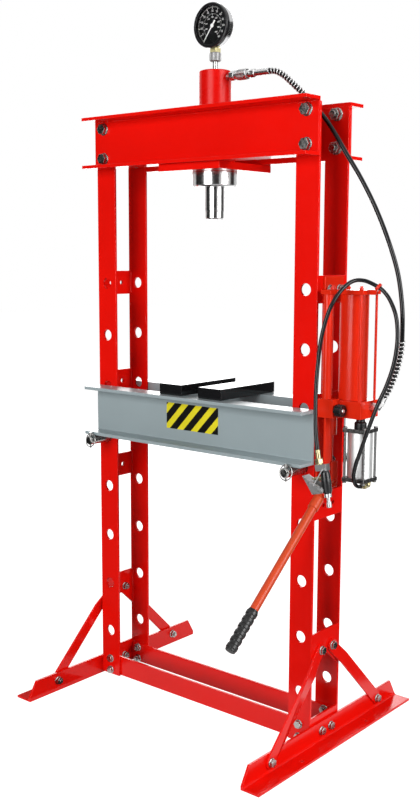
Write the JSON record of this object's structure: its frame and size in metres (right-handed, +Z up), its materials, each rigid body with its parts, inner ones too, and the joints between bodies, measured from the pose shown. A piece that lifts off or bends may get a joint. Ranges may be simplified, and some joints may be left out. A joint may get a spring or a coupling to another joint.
{
  "type": "hydraulic workshop press",
  "caption": "Floor-standing H-frame workshop press with a pinned bed, a ram and pressure gauge at the crosshead, and a pump with hand lever and air motor on one column.",
  "frame": {"origin": "on the floor, in the middle of the four anchor holes of the feet, under the ram's axis", "axes": "+Z up along the ram, +X towards the column with the pump, -Y towards the front"},
  "size_m": [0.9245, 0.7094, 1.734],
  "materials": {
    "red_paint": "gloss",
    "grey_paint": "satin",
    "zinc_steel": "zinc plated",
    "bright_steel": "polished",
    "silver_tube": "drawn",
    "black_steel": "satin",
    "white_paint": "matt",
    "clear_glass": "clear",
    "brass": "turned",
    "black_rubber": "smooth",
    "black_plastic": "moulded"
  },
  "bodies": {
    "frame": {"left_column": "red_paint", "right_column": "red_paint", "front_crosshead": "red_paint", "rear_crosshead": "red_paint", "crosshead_bolts": "zinc_steel", "crosshead_nuts": "zinc_steel", "left_foot": "red_paint", "right_foot": "red_paint", "brace_left_front": "red_paint", "brace_left_rear": "red_paint", "brace_right_front": "red_paint", "brace_right_rear": "red_paint", "front_rail": "red_paint", "rear_rail": "red_paint", "frame_bolts": "zinc_steel", "frame_nuts": "zinc_steel", "bed": "grey_paint", "bed_pin_left": "zinc_steel", "bed_pin_right": "zinc_steel", "pin_clip_left": "zinc_steel", "pin_clip_right": "zinc_steel", "press_plate_left": "black_steel", "press_plate_right": "black_steel", "support_plate": "red_paint", "cylinder": "red_paint", "cylinder_ring": "bright_steel", "return_spring": "zinc_steel", "gauge_stem": "zinc_steel", "gauge_nut": "zinc_steel", "gauge_socket": "brass", "gauge_case": "bright_steel", "gauge_bezel": "bright_steel", "gauge_dial": "black_steel", "gauge_glass": "clear_glass", "hose_coupler": "zinc_steel", "coupler_sleeve": "bright_steel", "hydraulic_hose": "black_rubber", "air_hose": "black_rubber", "hose_fitting": "zinc_steel", "pump_block": "red_paint", "reservoir": "red_paint", "pump_cap": "red_paint", "pump_rods": "red_paint", "oil_pipe": "red_paint", "air_adapter": "black_plastic", "air_tube": "silver_tube", "air_motor_ends": "zinc_steel", "air_motor_rods": "zinc_steel", "air_elbow": "brass", "valve_core": "brass", "air_valve": "black_plastic"},
    "ram": {"ram": "bright_steel", "ram_nose": "bright_steel"},
    "needle": {"gauge_needle": "white_paint"},
    "knob": {"release_knob": "black_plastic"},
    "lever": {"lever_socket": "red_paint", "lever": "red_paint", "lever_grip": "black_rubber"},
    "plunger": {"plunger": "red_paint"},
    "trigger": {"air_trigger": "zinc_steel"}
  },
  "joints": [
    {"name": "ram_slide", "type": "slide", "parent": "frame", "child": "ram", "axis": [0, 0, -1], "range_m": [0, 0.15], "stiffness_N_per_m": 1500, "springref_m": -0.06, "deforming": ["return_spring"]},
    {"name": "needle_turn", "type": "hinge", "parent": "frame", "child": "needle", "pos_m": [0, -0.012, 1.682], "axis": [0, 1, 0], "range_deg": [0, 270], "stiffness_Nm_per_rad": 0.01, "springref_deg": -11.46},
    {"name": "knob_turn", "type": "hinge", "parent": "frame", "child": "knob", "pos_m": [0.393, -0.052, 0.804], "axis": [1, 0, 0], "range_deg": [0, 270]},
    {"name": "lever_swing", "type": "hinge", "parent": "frame", "child": "lever", "pos_m": [0.36, -0.04981, 0.612], "axis": [-1, 0, 0], "range_deg": [0, 60]},
    {"name": "plunger_slide", "type": "slide", "parent": "frame", "child": "plunger", "axis": [0, 0, -1], "range_m": [0, 0.036]},
    {"name": "trigger_press", "type": "hinge", "parent": "frame", "child": "trigger", "pos_m": [0.42606, -0.142, 0.64484], "axis": [0, 1, 0], "range_deg": [0, 12], "stiffness_Nm_per_rad": 0.4, "springref_deg": -11.46}
  ],
  "couplings": [
    {"joint": "plunger_slide", "follows": "lever_swing", "m_per_rad": 0.032915}
  ]
}
